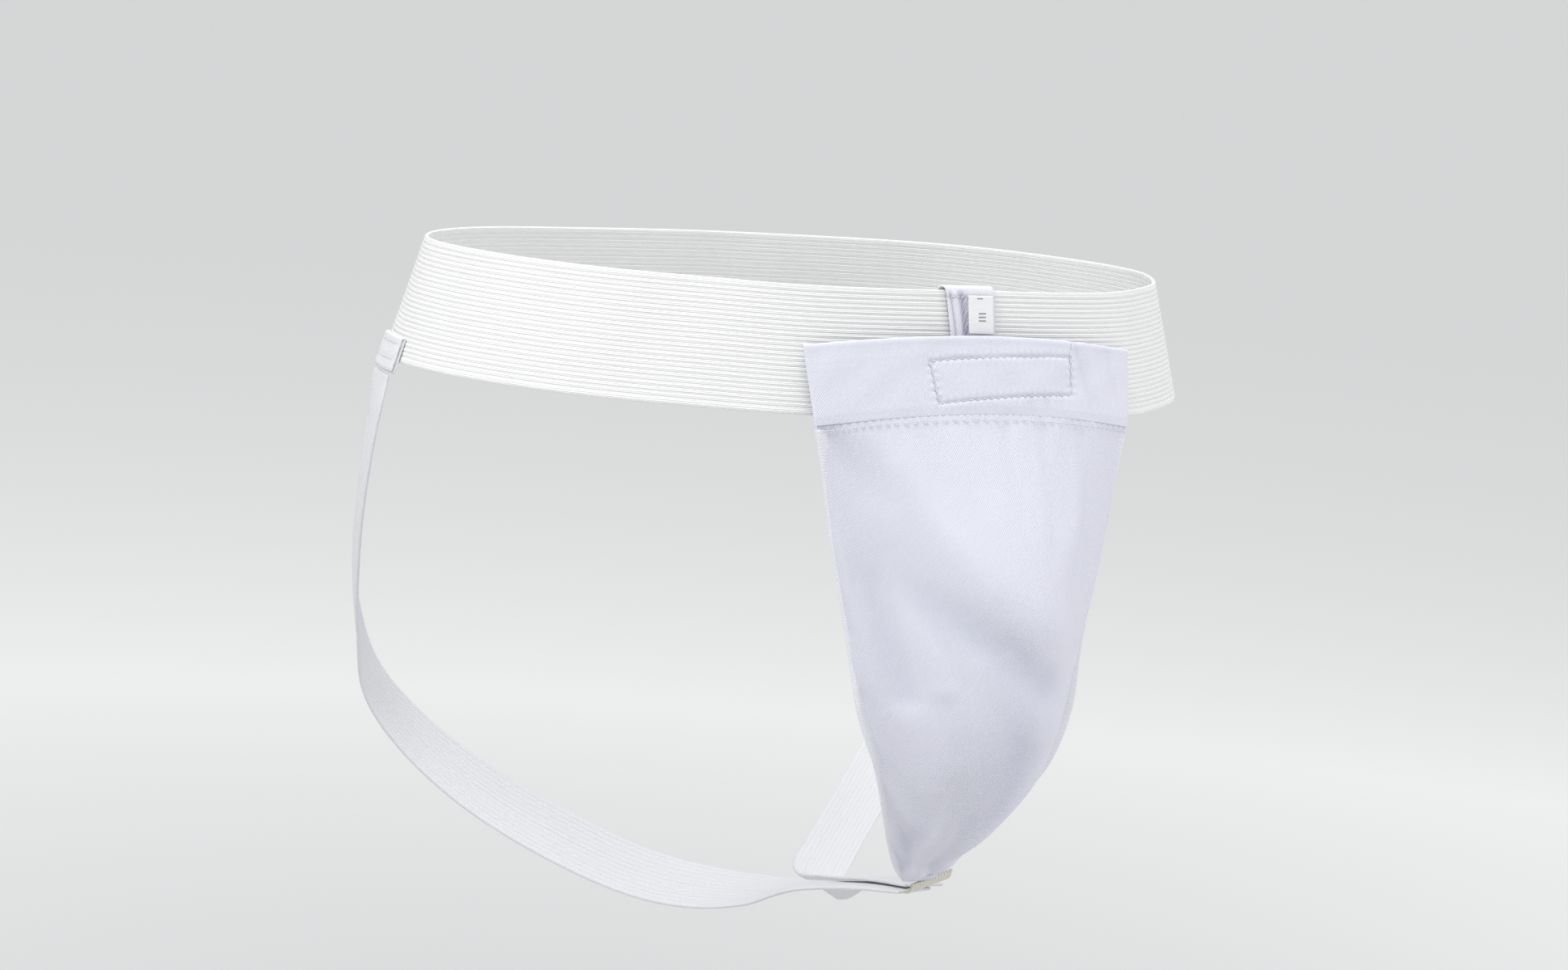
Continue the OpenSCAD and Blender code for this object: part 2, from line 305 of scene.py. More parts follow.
def calc(tree, kind, a, b=0.0, c=0.0):
    step = tree.nodes.new("ShaderNodeMath")
    step.operation = kind
    for socket, value in zip(step.inputs, (a, b, c)):
        put(tree, socket, value)
    return step.outputs[0]


def blendColours(tree, amount, first, second):
    mix = tree.nodes.new("ShaderNodeMix")
    mix.data_type = "RGBA"
    put(tree, mix.inputs[0], amount)
    put(tree, mix.inputs[6], first)
    put(tree, mix.inputs[7], second)
    return mix.outputs[2]


def clothAxes(tree):
    flat = tree.nodes.new("ShaderNodeUVMap")
    flat.uv_map = "flat"
    parts = tree.nodes.new("ShaderNodeSeparateXYZ")
    tree.links.new(flat.outputs[0], parts.inputs[0])
    return flat.outputs[0], parts.outputs[0], parts.outputs[1]


def ripple(tree, across, down, acrossShare, downShare, pitch):
    # waves of that pitch, running over the cloth in any direction
    a = calc(tree, "MULTIPLY", across, acrossShare * 2 * math.pi / pitch)
    b = calc(tree, "MULTIPLY_ADD", down, downShare * 2 * math.pi / pitch, a)
    return calc(tree, "SINE", b)


def speckle(tree, place, size, detail=3.0, rough=0.6):
    noise = tree.nodes.new("ShaderNodeTexNoise")
    put(tree, noise.inputs["Vector"], place)
    setSockets(noise, {"Scale": 1 / size, "Detail": detail, "Roughness": rough})
    return noise.outputs["Fac"]


def bumpFrom(tree, shader, height, depth, strength=1.0):
    bump = tree.nodes.new("ShaderNodeBump")
    setSockets(bump, {"Strength": strength, "Distance": depth})
    tree.links.new(height, bump.inputs["Height"])
    tree.links.new(bump.outputs[0], shader.inputs["Normal"])


# each weave: the way of its lines, the way of the waves across them, their share of the pitch, their height
weaves = {"twill": ((0.8, 0.6), (-0.6, 0.8), 0.7, 0.45), "ribs": ((1, 0), (0, 1), 0.45, 0.5),
          "bars": ((0, 1), (1, 0), 0.6, 0.5)}


def weaveOf(tree, kind, across, down, pitch):
    if kind == "plain":
        first = ripple(tree, across, down, 1, 0, pitch)
        second = ripple(tree, across, down, 0, 1, pitch)
        return calc(tree, "MULTIPLY", first, second)
    lineWay, crossWay, share, height = weaves[kind]
    line = ripple(tree, across, down, *lineWay, pitch)
    cross = ripple(tree, across, down, *crossWay, pitch * share)
    return calc(tree, "MULTIPLY_ADD", cross, height, line)


def clothFinish(name, look):
    tree, shader = newFinish(name)
    place, across, down = clothAxes(tree)
    pitch = look["pitch"] * mm
    weave = weaveOf(tree, look["weave"], across, down, pitch)
    fibre = speckle(tree, place, pitch * 0.8)
    broad = speckle(tree, place, 0.03, 2.0)
    height = calc(tree, "MULTIPLY_ADD", fibre, 1.6, weave)
    # the colour follows the weave's height, its low parts darker: painted shade in the weave's hollows; the
    # broad noise adds tone that varies at random
    shade = calc(tree, "MULTIPLY_ADD", height, -look["contrast"] * 0.25, 0.5)
    shade = calc(tree, "MULTIPLY_ADD", broad, look["mottle"], shade)
    shade = calc(tree, "ADD", shade, -0.5 * look["mottle"])
    colour = blendColours(tree, shade, (*look["light"], 1), (*look["dark"], 1))
    # painted shade: a per-point attribute darkens the colour towards a darker shade colour in folds, grooves
    # and seams
    creaseShade = tree.nodes.new("ShaderNodeAttribute")
    creaseShade.attribute_name = "creaseShade"
    amount = calc(tree, "MULTIPLY", creaseShade.outputs["Fac"], look["creaseShadeShare"])
    colour = blendColours(tree, amount, colour, (*look["creaseShadeColour"], 1))
    put(tree, shader.inputs["Base Color"], colour)
    setSockets(shader, {"Roughness": look["rough"], "Specular IOR Level": 0.25,
                        "Sheen Weight": look["sheen"], "Sheen Roughness": 0.4})
    bumpFrom(tree, shader, height, look["bump"] * mm, 0.7)


# the weave's pitch and the depth of its bump in millimetres, its light and dark colours, and the colour and
# share of the painted shade in its folds, grooves and seams
plainCloth = {"weave": "twill", "pitch": 0.8, "contrast": 0.55, "mottle": 0.06, "creaseShadeShare": 0.5,
              "rough": 0.75, "sheen": 0.2, "bump": 0.08}
clothLooks = {
    "band_elastic": {"weave": "bars", "pitch": 0.75, "contrast": 0.5, "light": (0.95, 0.95, 0.945),
                     "dark": (0.86, 0.86, 0.85), "creaseShadeColour": (0.66, 0.66, 0.655), "creaseShadeShare": 0.4,
                     "rough": 0.8, "sheen": 0.15, "bump": 0.10},
    "pouch_cotton": {"mottle": 0.12, "light": (0.80, 0.803, 0.885), "dark": (0.68, 0.685, 0.79),
                     "creaseShadeColour": (0.50, 0.51, 0.65)},
    "hem_cotton": {"mottle": 0.14, "light": (0.80, 0.805, 0.89), "dark": (0.69, 0.695, 0.80),
                   "creaseShadeColour": (0.50, 0.51, 0.66)},
    "binding_cotton": {"weave": "bars", "pitch": 0.7, "contrast": 0.5, "mottle": 0.05,
                       "light": (0.87, 0.872, 0.92), "dark": (0.79, 0.795, 0.86),
                       "creaseShadeColour": (0.62, 0.63, 0.73), "rough": 0.7, "bump": 0.07},
    "strap_elastic": {"weave": "ribs", "pitch": 0.9, "contrast": 0.45, "mottle": 0.05,
                      "light": (0.83, 0.835, 0.85), "dark": (0.75, 0.755, 0.78),
                      "creaseShadeColour": (0.60, 0.605, 0.64), "rough": 0.72, "sheen": 0.15, "bump": 0.07},
    "tab_tape": {"pitch": 0.9, "contrast": 0.6, "light": (0.84, 0.845, 0.90), "dark": (0.74, 0.745, 0.83),
                 "creaseShadeColour": (0.40, 0.39, 0.50), "creaseShadeShare": 0.85, "rough": 0.7},
    "patch_cotton": {"weave": "plain", "contrast": 0.6, "mottle": 0.08, "light": (0.84, 0.835, 0.80),
                     "dark": (0.74, 0.735, 0.70), "creaseShadeColour": (0.55, 0.55, 0.53), "rough": 0.8},
    "hook_tape": {"weave": "plain", "pitch": 1.0, "contrast": 0.6, "mottle": 0.05,
                  "light": (0.72, 0.73, 0.78), "dark": (0.58, 0.59, 0.66), "creaseShadeColour": (0.4, 0.4, 0.45),
                  "rough": 0.45, "sheen": 0.05},
    "loop_tape": {"weave": "plain", "pitch": 1.3, "contrast": 0.8, "mottle": 0.2,
                  "light": (0.80, 0.81, 0.86), "dark": (0.64, 0.65, 0.72), "creaseShadeColour": (0.5, 0.5, 0.56),
                  "rough": 0.9, "sheen": 0.6, "bump": 0.2},
    "crotch_rib": {"weave": "bars", "contrast": 0.6, "mottle": 0.08, "light": (0.87, 0.85, 0.76),
                   "dark": (0.77, 0.75, 0.66), "creaseShadeColour": (0.50, 0.48, 0.40), "creaseShadeShare": 0.8,
                   "rough": 0.8, "sheen": 0.15, "bump": 0.09},
}
for slotName, look in clothLooks.items():
    clothFinish(slotName, {**plainCloth, **look})


def threadFinish(name, light, dark):
    tree, shader = newFinish(name)
    place, across, down = clothAxes(tree)
    ply = ripple(tree, across, down, 0.5, 0.9, 0.45 * mm)
    colour = blendColours(tree, calc(tree, "MULTIPLY_ADD", ply, 0.3, 0.4), (*light, 1), (*dark, 1))
    put(tree, shader.inputs["Base Color"], colour)
    setSockets(shader, {"Roughness": 0.5, "Sheen Weight": 0.2})
    bumpFrom(tree, shader, ply, 0.05 * mm)


threadFinish("thread", (0.86, 0.87, 0.93), (0.66, 0.67, 0.78))

# plain bars where a size would be: across, down the ribbon's outer face, half width and half height
labelMarks = {"outerEnd": 30.1, "ink": (0.16, 0.16, 0.17),
              "bars": [(-0.6, 1.6, 1.4, 0.26), *((0.4, y, 1.7, 0.3) for y in (7.4, 8.8, 10.2))]}


def labelFinish():
    tree, shader = newFinish("label_satin")
    place, across, down = clothAxes(tree)
    weft = ripple(tree, across, down, 0, 1, 0.35 * mm)
    fibre = speckle(tree, place, 0.4 * mm)
    colour = blendColours(tree, calc(tree, "MULTIPLY_ADD", fibre, 0.35, 0.1),
                          (0.93, 0.93, 0.94, 1), (0.82, 0.82, 0.85, 1))
    ink = 0.0
    for x, y, halfWidth, halfHeight in labelMarks["bars"]:
        dx = calc(tree, "ABSOLUTE", calc(tree, "ADD", across, -x * mm))
        dy = calc(tree, "ABSOLUTE", calc(tree, "ADD", down, (y - labelMarks["outerEnd"]) * mm))
        inside = calc(tree, "MULTIPLY", calc(tree, "LESS_THAN", dx, halfWidth * mm),
                      calc(tree, "LESS_THAN", dy, halfHeight * mm))
        ink = calc(tree, "MAXIMUM", inside, ink)
    colour = blendColours(tree, calc(tree, "MULTIPLY", ink, 0.8), colour, (*labelMarks["ink"], 1))
    put(tree, shader.inputs["Base Color"], colour)
    setSockets(shader, {"Roughness": 0.42, "Sheen Weight": 0.1})
    bumpFrom(tree, shader, calc(tree, "MULTIPLY_ADD", fibre, 1.2, weft), 0.03 * mm)


def mouldedFinish(name, light, dark, rough, grain, coat=0.0):
    tree, shader = newFinish(name)
    place, across, down = clothAxes(tree)
    fine = speckle(tree, place, grain, 2.0)
    wear = speckle(tree, place, 14 * mm, 4.0, 0.7)
    colour = blendColours(tree, wear, (*light, 1), (*dark, 1))
    put(tree, shader.inputs["Base Color"], colour)
    put(tree, shader.inputs["Roughness"], calc(tree, "MULTIPLY_ADD", wear, 0.16, rough - 0.08))
    setSockets(shader, {"Coat Weight": coat, "Coat Roughness": 0.25})
    bumpFrom(tree, shader, fine, 0.03 * mm, 0.6)


labelFinish()
mouldedFinish("cup_plastic", (0.86, 0.86, 0.85), (0.78, 0.78, 0.77), 0.38, 0.9 * mm, 0.15)
mouldedFinish("pad_rubber", (0.055, 0.06, 0.07), (0.035, 0.037, 0.045), 0.62, 0.5 * mm)


# camera, floor and light

viewLook = {"around": -33.17, "above": 7.6, "tilt": 4.61, "distance": 1.704, "aimX": -0.0075,
            "aimZ": -0.0938, "lens": 94.9, "sensor": 36}


def viewAxes():
    a, e = math.radians(viewLook["around"]), math.radians(viewLook["above"])
    right = Vector((math.cos(a), math.sin(a), 0))
    back = Vector((math.sin(a) * math.cos(e), -math.cos(a) * math.cos(e), math.sin(e)))
    return right, back.cross(right), back


def makeCamera():
    right, up, back = viewAxes()
    r = math.radians(viewLook["tilt"])
    x = right * math.cos(r) + up * math.sin(r)
    y = up * math.cos(r) - right * math.sin(r)
    place = Vector((0, 0, viewLook["aimZ"])) + right * viewLook["aimX"] + back * viewLook["distance"]
    lens = bpy.data.cameras.new("camera")
    lens.sensor_width = viewLook["sensor"]
    lens.lens = viewLook["lens"]
    camera = bpy.data.objects.new("camera", lens)
    camera.matrix_world = Matrix(((x[0], y[0], back[0], place[0]), (x[1], y[1], back[1], place[1]),
                                  (x[2], y[2], back[2], place[2]), (0, 0, 0, 1)))
    scene.collection.objects.link(camera)
    scene.camera = camera


stageLook = {"floorZ": -0.46, "nearFloorShade": (0.62, 0.62, 0.62), "farFloor": (0.88, 0.885, 0.875),
             "nearRadius": 0.5, "farRadius": 1.5, "farGlow": 0.2,
             "sky": (0.97, 0.98, 1.0), "skyStrength": 0.53,
             # the floor's outline from its middle outwards, level and then rising all round
             "outline": [(0, 0), (3, 0), (6, 0), (8, 0.12), (10, 0.5), (12, 1.2), (14, 2.3)], "around": 64}
# each light: place to the right, towards the camera and up, size, strength
lightLooks = {"keyLight": ((-0.75, 0.8, 1.35), 0.9, 15), "topLight": ((-0.1, 0.3, 1.6), 1.0, 9.5),
              "rimLight": ((1.35, -0.15, 0.45), 0.6, 6)}


def makeStage():
    around, floorZ = stageLook["around"], stageLook["floorZ"]
    turn = np.arange(around) * 2 * math.pi / around
    rings = np.array([np.stack([r * np.cos(turn), r * np.sin(turn), 0 * turn + floorZ + up], -1)
                      for r, up in stageLook["outline"][1:]])
    verts = [(0, 0, floorZ)] + rings.reshape(-1, 3).tolist()
    faces = [(0, 1 + k, 1 + (k + 1) % around) for k in range(around)]
    for i in range(len(rings) - 1):
        for k in range(around):
            a, b = 1 + i * around + k, 1 + i * around + (k + 1) % around
            faces.append((a, a + around, b + around, b))
    mesh = bpy.data.meshes.new("floor")
    mesh.from_pydata(verts, [], faces)
    mesh.polygons.foreach_set("use_smooth", [True] * len(mesh.polygons))
    floor = bpy.data.objects.new("floor", mesh)
    scene.collection.objects.link(floor)
    tree, shader = newFinish("floorPaint")
    place = tree.nodes.new("ShaderNodeNewGeometry").outputs["Position"]
    length = tree.nodes.new("ShaderNodeVectorMath")
    length.operation = "LENGTH"
    tree.links.new(place, length.inputs[0])
    # painted shadow: the floor is darker near its middle, under the object; further out it glows faintly,
    # painted light
    near, far = stageLook["nearRadius"], stageLook["farRadius"]
    away = calc(tree, "DIVIDE", calc(tree, "SUBTRACT", length.outputs["Value"], near), far - near)
    away = calc(tree, "MINIMUM", calc(tree, "MAXIMUM", away, 0.0), 1.0)
    colour = blendColours(tree, away, (*stageLook["nearFloorShade"], 1), (*stageLook["farFloor"], 1))
    put(tree, shader.inputs["Base Color"], colour)
    put(tree, shader.inputs["Emission Strength"], calc(tree, "MULTIPLY", away, stageLook["farGlow"]))
    setSockets(shader, {"Emission Color": (1, 1, 1, 1), "Roughness": 0.9, "Specular IOR Level": 0.0})
    mesh.materials.append(finishes["floorPaint"])
    sky = bpy.data.worlds.new("studio")
    sky.use_nodes = True
    setSockets(sky.node_tree.nodes["Background"],
               {"Color": (*stageLook["sky"], 1), "Strength": stageLook["skyStrength"]})
    scene.world = sky
    scene.view_settings.view_transform = "Standard"


def makeLights():
    right, _, back = viewAxes()
    flatBack = Vector((back[0], back[1], 0)).normalized()
    aim = Vector((0, -0.05, -0.11))
    for name, ((sideways, nearer, up), size, strength) in lightLooks.items():
        lamp = bpy.data.lights.new(name, "AREA")
        lamp.size = size
        lamp.energy = strength
        light = bpy.data.objects.new(name, lamp)
        light.location = aim + right * sideways + flatBack * nearer + Vector((0, 0, up))
        light.rotation_euler = (aim - light.location).to_track_quat("-Z", "Y").to_euler()
        scene.collection.objects.link(light)


makeCamera()
makeStage()
makeLights()
print("stage and lights are up")


# waistband: a ribbed elastic ring that leans out over the hips

bandLook = {"halfPlan": [(0, -108), (38, -108), (73, -101), (106, -77), (138, -44), (159, -4), (159, 38),
                         (137, 78), (95, 107), (48, 121), (0, 124)],
            "height": 48.6, "thickness": 1.6, "sideLean": 15.5, "frontLean": 10, "ribs": 25,
            "ribDepth": 0.28, "insideDepth": 0.15, "steps": 310, "perRib": 6, "wave": 0.35}
halfPlan = np.array(bandLook["halfPlan"], float)
plan = np.vstack([halfPlan, halfPlan[-2:0:-1] * (-1, 1)])  # from the front, round by the wearer's left


def ringPoint(t):
    i = np.floor(t).astype(int)
    a, b, c, d = (plan[(i + k) % len(plan)] for k in (-1, 0, 1, 2))
    return catmull(a, b, c, d, (t - i)[..., None])


def bandPoint(t, z, off):
    # t counts the plan's points round the ring, z is the height and off the distance out of the band's middle
    t, z, off = np.broadcast_arrays(np.asarray(t, float), z, off)
    way = ringPoint(t + 0.2) - ringPoint(t - 0.2)
    out = unit(np.stack([way[..., 1], -way[..., 0]], -1))
    side, front = bandLook["sideLean"], bandLook["frontLean"]
    lean = np.tan(np.radians(side - (side - front) * np.maximum(0, -out[..., 1]) ** 4))
    place = np.concatenate([ringPoint(t) - out * (z * lean)[..., None], z[..., None]], -1)
    normal = unit(np.concatenate([out, lean[..., None]], -1))
    return (place + normal * off[..., None]) * mm, normal


def makeWaistband():
    h, half, ribs = bandLook["height"], bandLook["thickness"] / 2, bandLook["ribs"]
    count = ribs * bandLook["perRib"]
    down = -np.linspace(half, h - half, count + 1)
    groove = 1 - np.abs(np.sin(math.pi * (down + half) * ribs / (h - 2 * half))) ** 0.65
    groove[:5] *= 0.3
    groove[-5:] *= 0.3
    bend = np.linspace(0, math.pi, 9)[1:-1]
    z = np.concatenate([down, -(h - half) - half * np.sin(bend), down[::-1], -half + half * np.sin(bend)])
    off = np.concatenate([half - bandLook["ribDepth"] * groove, half * np.cos(bend),
                          -half + bandLook["insideDepth"] * groove[::-1], -half * np.cos(bend)])
    # painted shade in the rib grooves, half as strong on the inside of the band
    dark = np.concatenate([groove, 0 * bend, 0.5 * groove[::-1], 0 * bend])
    t = np.linspace(0, len(plan), bandLook["steps"], endpoint=False)
    turn = t * 2 * math.pi / len(plan)
    quiet = 1 - np.exp(-(np.minimum(t, len(plan) - t) / 2.4) ** 4)  # the band lies flat behind the pouch
    wave = bandLook["wave"] * quiet * (np.sin(3 * turn + 1) + 0.5 * np.sin(8 * turn + 2))
    ripples = 0.22 * quiet * (np.sin(13 * turn) + np.sin(21 * turn + 1.3))
    height = z[:, None] + wave[None, :] * 0.8
    swell = off[:, None] + ripples[None, :] * np.sin(math.pi * z / -h)[:, None]
    grid, _ = bandPoint(t[None, :], height, swell)
    ring = np.vstack([grid[0], grid[0][:1]])
    around = np.concatenate([[0], np.cumsum(np.linalg.norm(np.diff(ring, axis=0), axis=1))])
    stepsZ, stepsOff = np.diff(np.append(z, z[0])), np.diff(np.append(off, off[0]))
    section = np.concatenate([[0], np.cumsum(np.hypot(stepsZ, stepsOff))])
    uv = np.stack(np.broadcast_arrays(around[None, :], section[:, None] * mm), -1)
    piece = loopMesh("bandElastic", grid, uv, np.repeat(dark[:, None], len(t), 1))
    settle(piece, "waistband", "band_elastic", "waistband")


makeWaistband()

# perPoint: millimetres round the ring from one plan point to the next, at the piece
patchLook = {"halfWidth": 12, "top": -3, "bottom": -45, "thickness": 0.8, "off": 1.4, "stitchAt": 9.6,
             "perPoint": 49.0, "edge": 0.8, "stitches": 33}


def makeJoinPatch():
    look = patchLook
    width, length = 2 * look["halfWidth"], look["top"] - look["bottom"]
    across, down = edgeSteps(26, width, look["edge"]), edgeSteps(40, length, look["edge"])
    t = len(plan) / 2 + (across - 0.5) * width / look["perPoint"]
    z = look["top"] - down * length
    puff = 0.18 * np.sin(across[None, :] * math.pi) * np.sin(down[:, None] * math.pi * 9) ** 2
    sewn = 0.25 * bell((np.abs(across - 0.5) * width - look["stitchAt"])[None, :], 1.0) + 0 * down[:, None]
    middle, _ = bandPoint(t[None, :], z[:, None], look["off"] + puff * 0.4)
    thick = look["thickness"] * edgesRound(down, length, across, width, look["edge"])
    # painted shade along the stitched grooves
    piece = clothSlab("joinPatch", middle, (thick + puff * 0.3 - sewn * 0.6) * mm, creaseShade=sewn * 1.6,
                      steps=(down, across))
    settle(piece, "waistband", "patch_cotton", "join_patch")
    runs = []
    for side in (-1, 1):
        row = []
        for k in range(look["stitches"] + 1):
            x = side * look["stitchAt"] + 0.9 * (-1) ** k
            row.append(spot("joinPatch", 0.02 + 0.96 * k / look["stitches"], 0.5 + x / width, 0.08 * mm))
        runs += stitchLine(row, 0.95)
    settle(threadPieces("joinStitches", runs), "waistband", "thread", "join_stitches")


makeJoinPatch()
print("waistband is made")


# strap ends: each leg strap is folded over and sewn on the band's lower edge

anchorLook = {"at": 14.0, "width": 24, "thickness": 1.25, "top": -39.2, "bottom": -53, "inner": 1.7,
              "outer": 3.1, "seams": (-41.6, -47.8), "perPoint": 42.7, "edge": 0.6, "ribs": 12}


def makeAnchor(side):
    look = anchorLook
    tail = "Left" if side > 0 else "Right"
    bend = np.linspace(0, math.pi, 9)
    r = (look["outer"] - look["inner"]) / 2
    centre = (look["inner"] + look["outer"]) / 2
    up = np.linspace(look["bottom"], look["top"] - r, 14)
    z = np.concatenate([up, look["top"] - r + r * np.sin(bend[1:-1]), up[::-1][:-1], [look["bottom"] + 0.4]])
    off = np.concatenate([look["inner"] + 0 * up, centre - r * np.cos(bend[1:-1]), look["outer"] + 0 * up])
    across = edgeSteps(34, look["width"], look["edge"])
    t = look["at"] + (across - 0.5) * look["width"] / look["perPoint"]
    rows = np.linspace(0, 1, len(z))
    sewn = sum(bell(z - level, 0.9) for level in look["seams"]) * (off > centre)
    middle, _ = bandPoint(t[None, :], z[:, None], (off - 0.18 * sewn)[:, None])
    middle = mirror(middle[::-1], side)
    ribs = 1 - np.abs(np.sin(math.pi * across * look["ribs"])) ** 0.7
    thick = look["thickness"] * edgeRound(rows, 30, look["edge"])[:, None]
    thick = thick * edgeRound(across, look["width"], look["edge"])[None, :] - 0.16 * ribs[None, :]
    # painted shade in the stitched grooves and between the ribs
    piece = clothSlab("strapAnchor" + tail, middle, thick * mm,
                      creaseShade=0.5 * sewn[::-1, None] + 0.4 * ribs[None, :])
    settle(piece, "waistband", "strap_elastic", "strap_anchor_" + tail.lower())
    runs = []
    outside = look["outer"] + look["thickness"] / 2 - 0.12
    for level in look["seams"]:
        spots = [bandPoint(look["at"] + s / look["perPoint"], level, outside)
                 for s in np.arange(-9.5, 9.6, 19 / 8)]
        runs += stitchLine([(mirror(p, side), mirror(n, side)) for p, n in spots])
    stitches = threadPieces("anchorStitches" + tail, runs)
    settle(stitches, "waistband", "thread", "anchor_stitches_" + tail.lower())


for side in (-1, 1):
    makeAnchor(side)


# leg straps: from each hip, under the leg and forward to the pouch's tip

# path: a point of the strap's middle, the way its outer face turns and how far it leans, in degrees
strapLook = {"width": 24, "thickness": 1.4, "ribs": 12, "ribDepth": 0.12, "raise": 2.0, "narrow": 0.28,
             "steps": 170, "length": 480, "edge": 0.6,
             "path": [
                 (-175.4, 42.3, -53.3, 165, -15), (-176.6, 43.2, -66, 163, -10),
                 (-175.6, 49.5, -86, 160, -4), (-173, 58, -110, 158, 0), (-166.9, 70, -138, 156, 6),
                 (-158.7, 81, -160, 149, 12), (-146.5, 89, -187, 128, 22), (-126, 87, -211, 108, 28),
                 (-100, 73, -233, 88, 30), (-72, 52, -250, 72, 34), (-47, 30, -261, 62, 42),
                 (-28, 8, -263.5, 50, 54), (-16, -20, -259, 35, 70), (-11, -50, -250, 20, 88),
                 (-6, -80, -243, 10, 90), (-2, -107, -238.6, 0, 90)]}


def makeStrap(side):
    look = strapLook
    tail = "Left" if side > 0 else "Right"
    path = np.array(look["path"], float)
    last = len(path) - 1
    across = edgeSteps(look["ribs"] * 6 + 1, look["width"], look["edge"])
    down = edgeSteps(look["steps"], look["length"], 0.4)
    rows = []
    for s in down:
        c = openCurve(path, s * last)
        ahead, behind = (openCurve(path, min(last, max(0, s * last + step))) for step in (0.05, -0.05))
        way = unit((ahead - behind)[:3])
        turn, lean = math.radians(c[3]), math.radians(c[4])
        face = np.array([math.cos(turn) * math.cos(lean), math.sin(turn) * math.cos(lean), -math.sin(lean)])
        high = (look["raise"] if side > 0 else 0) * min(1, max(0, (-14 - c[1]) / 20))
        over = unit(np.cross(face, way))
        cup = 0.5 * math.sin(math.pi * s) * (1 - (2 * across - 1) ** 2)  # a taut elastic curls a little
        wide = look["width"] * (1 - look["narrow"] * min(1, max(0, (-60 - c[1]) / 45)))  # gathered at the tip
        rows.append(c[:3] + (0, 0, high) + np.outer(across - 0.5, over) * wide
                    + np.outer(cup, np.cross(way, over)))
    middle = mirror(np.array(rows), side)
    ribs = 1 - np.abs(np.sin(math.pi * across * look["ribs"])) ** 0.7
    thick = look["thickness"] * np.outer(edgeRound(down, look["length"], 0.4, 0.6),
                                         edgeRound(across, look["width"], look["edge"]))
    thick = np.maximum(0.25, thick - 2 * look["ribDepth"] * ribs[None, :])
    # painted shade between the ribs
    piece = clothSlab("legStrap" + tail, middle * mm, thick * mm,
                      creaseShade=np.broadcast_to(0.45 * ribs, thick.shape))
    settle(piece, None, "strap_elastic", "leg_strap_" + tail.lower())
    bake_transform(piece)


# pouch: sections from the hem's seam down to the tip, in millimetres
# edge height, middle height, half width, edge depth, bulge of the middle

pouchLook = {"sections": [
                 (-52, -46, 74, 117.4, 8.8), (-68, -64, 70.4, 118.6, 17.5), (-90, -88, 65.7, 119.8, 27),
                 (-115, -115, 60.4, 122.4, 34), (-140, -141, 55.2, 125.3, 37.5),
                 (-162, -165, 51, 128.7, 36.5), (-182, -187, 42.5, 130, 30), (-202, -207, 31.8, 124.2, 23),
                 (-220, -223, 19.5, 114.8, 14), (-230, -231, 12, 112, 4)],
             "hemTop": (-22, -16.5, 76.8, 109, 9.5),
             "backTop": [(-24, -24, 58, 112.9, 2.4), (-48, -48, 64, 116.1, 2.7)],
             "inset": 6.8, "cloth": 1.0, "curve": 0.8, "frontInset": 1.2, "tipLean": 0.27}
sections, hemTop, backTop = (np.array(pouchLook[key], float) for key in ("sections", "hemTop", "backTop"))


def pouchRow(section, u, insetRight=0.0, insetLeft=None, leftCurve=None):
    # one row of the pouch, u from -1 at the wearer's right edge to 1 at the left edge
    edgeZ, middleZ, halfWidth, depth, bulge = section
    insetLeft = insetRight if insetLeft is None else insetLeft
    power = np.where(u > 0, leftCurve or pouchLook["curve"], pouchLook["curve"])
    y = -(depth + bulge * np.maximum(0, 1 - np.abs(u) ** 2.2) ** power)
    x = (halfWidth - np.where(u > 0, insetLeft, insetRight)) * u
    return np.stack([x, y, edgeZ + (middleZ - edgeZ) * (1 - u * u)], -1)


def tipLeans(points):
    # the tip hangs a little lower on the wearer's right
    low = np.clip((-182 - points[..., 2]) / 48, 0, 1)
    shift = pouchLook["tipLean"] * points[..., 0] * low * low * (3 - 2 * low)
    return points + shift[..., None] * np.array([0, 0, 1])


def pouchAt(v):
    return openCurve(sections, v * (len(sections) - 1))


cupLook = {"middle": -135, "top": -64, "bottom": -204, "halfWidth": 43, "wall": 2.6, "depth": 27, "pad": 3,
           "rimLean": 0.08, "vents": 6, "ventRadius": 2.5, "around": 96, "rings": 34,
           "slope": 50, "edge": 1.3, "padWidth": 4.7, "padEdge": 0.95}


def eggRing(a):
    look = cupLook
    h = np.where(np.cos(a) > 0, look["top"] - look["middle"], look["middle"] - look["bottom"])
    w = look["halfWidth"] * (1 + 0.22 * np.cos(a))
    return w * np.sign(np.sin(a)) * np.abs(np.sin(a)) ** 0.8, h * np.cos(a)


def rimY(z):
    return -122.6 + cupLook["rimLean"] * (z - cupLook["top"])


